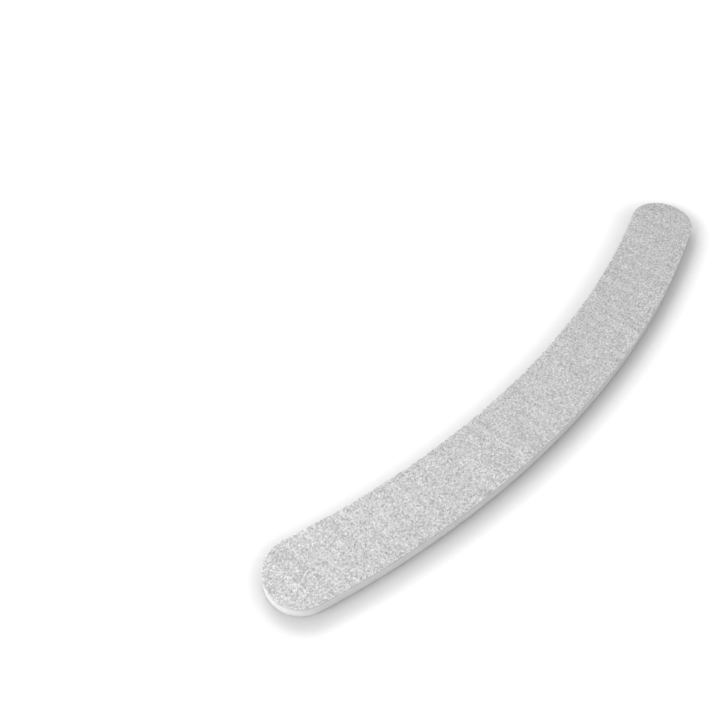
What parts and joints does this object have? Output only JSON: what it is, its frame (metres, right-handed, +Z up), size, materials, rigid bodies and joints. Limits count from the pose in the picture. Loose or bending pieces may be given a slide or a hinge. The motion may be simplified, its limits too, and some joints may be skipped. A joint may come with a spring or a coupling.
{
  "type": "emery board",
  "caption": "Curved double-sided emery board: pale grey abrasive sheets bonded to a soft white foam core with a stiff strip inside, round ends",
  "frame": {"origin": "On the resting plane, in the middle of the board's bounding box", "axes": "+X along the board from one round end to the other, +Y across it towards the hollow side of the bend, +Z up from the lower abrasive face to the upper one"},
  "size_m": [0.178, 0.031, 0.0041],
  "materials": {
    "abrasive_grain": "matte light grey mineral grain in clear resin, finely speckled and rough",
    "backing_paper": "matte off-white paper, seen as a thin line at the cut edge",
    "adhesive_film": "thin translucent pressure-sensitive adhesive, slightly darker than the foam at the cut edge",
    "foam": "matte white closed-cell foam with fine cells along the cut edge",
    "stiff_plastic": "smooth white stiff plastic, seen as a faint line halfway up the cut edge"
  },
  "bodies": {
    "root": {"lower_grain_coat": "abrasive_grain", "lower_backing_paper": "backing_paper", "lower_adhesive_film": "adhesive_film", "lower_foam_layer": "foam", "lower_core_adhesive": "adhesive_film", "core_strip": "stiff_plastic", "upper_core_adhesive": "adhesive_film", "upper_foam_layer": "foam", "upper_adhesive_film": "adhesive_film", "upper_backing_paper": "backing_paper", "upper_grain_coat": "abrasive_grain"}
  },
  "joints": []
}
